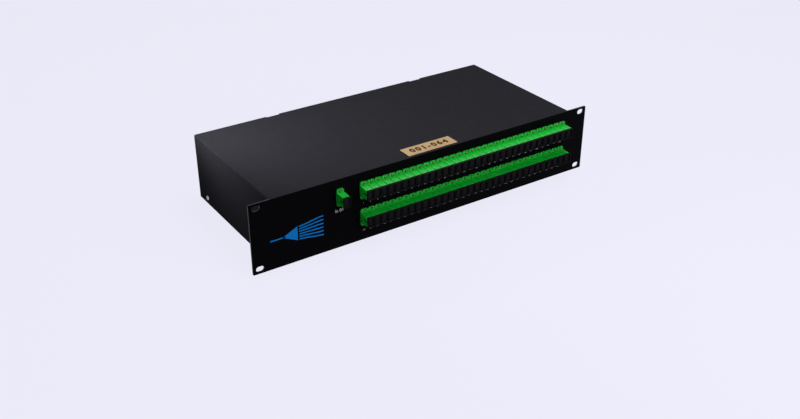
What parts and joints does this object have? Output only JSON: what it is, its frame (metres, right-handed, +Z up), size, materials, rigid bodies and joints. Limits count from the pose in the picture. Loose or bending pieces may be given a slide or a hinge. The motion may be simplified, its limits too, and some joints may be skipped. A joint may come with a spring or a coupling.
{
  "type": "rack-mount planar lightwave circuit fibre splitter",
  "caption": "Two-unit 19-inch rack chassis that splits one optical fibre onto two rows of capped green square-connector adapters.",
  "frame": {"origin": "centre of the front panel's front face, which is the middle of the four rack slots", "axes": "+X along the panel to the right as seen from the front, +Y back into the chassis, +Z up"},
  "size_m": [0.4826, 0.2186, 0.0882],
  "materials": {
    "panel_black": "black powder coat, front panel",
    "case_black": "black powder coat, folded sheet",
    "screw_steel": "zinc-plated screw",
    "screw_brass": "yellow-passivated small screw",
    "plate_tan": "tan-gold stuck-on plate",
    "adapter_green": "moulded green, semi-gloss",
    "cap_black": "soft black dust cap",
    "insert_white": "natural moulded plastic",
    "ceramic_white": "polished zirconia",
    "plug_green": "moulded green plug",
    "fibre_jacket": "thin loose-tube jacket",
    "module_steel": "bright steel module case",
    "optical_glass": "fused silica block",
    "fanout_black": "moulded fan-out block"
  },
  "bodies": {
    "chassis": {"base_tray": "case_black", "cover_screws": "screw_steel", "dust_caps_01_08": "cap_black", "dust_caps_09_16": "cap_black", "dust_caps_17_24": "cap_black", "dust_caps_25_32": "cap_black", "dust_caps_33_40": "cap_black", "dust_caps_41_48": "cap_black", "dust_caps_49_56": "cap_black", "dust_caps_57_64": "cap_black", "fanout_blocks": "fanout_black", "fibre_clips": "insert_white", "front_panel": "panel_black", "input_adapter": "adapter_green", "input_boot": "plug_green", "input_ferrule": "ceramic_white", "input_fibre": "fibre_jacket", "input_fibre_block": "optical_glass", "input_insert_front": "insert_white", "input_insert_rear": "insert_white", "input_plug": "plug_green", "input_screws": "screw_brass", "input_sleeve": "ceramic_white", "label_plate": "plate_tan", "output_adapters_01_08": "adapter_green", "output_adapters_09_16": "adapter_green", "output_adapters_17_24": "adapter_green", "output_adapters_25_32": "adapter_green", "output_adapters_33_40": "adapter_green", "output_adapters_41_48": "adapter_green", "output_adapters_49_56": "adapter_green", "output_adapters_57_64": "adapter_green", "output_fibre_block": "optical_glass", "output_ribbons": "fibre_jacket", "output_tails_lower": "fibre_jacket", "output_tails_upper": "fibre_jacket", "rear_plugs_01_08": "plug_green", "rear_plugs_09_16": "plug_green", "rear_plugs_17_24": "plug_green", "rear_plugs_25_32": "plug_green", "rear_plugs_33_40": "plug_green", "rear_plugs_41_48": "plug_green", "rear_plugs_49_56": "plug_green", "rear_plugs_57_64": "plug_green", "splitter_case": "module_steel", "splitter_chip": "optical_glass", "splitter_lid": "module_steel", "top_cover": "case_black"},
    "input_cap": {"input_dust_cap": "cap_black"}
  },
  "joints": [
    {"name": "input_cap_pull", "type": "slide", "parent": "chassis", "child": "input_cap", "axis": [0, -1, 0], "range_m": [0, 0.025]}
  ]
}
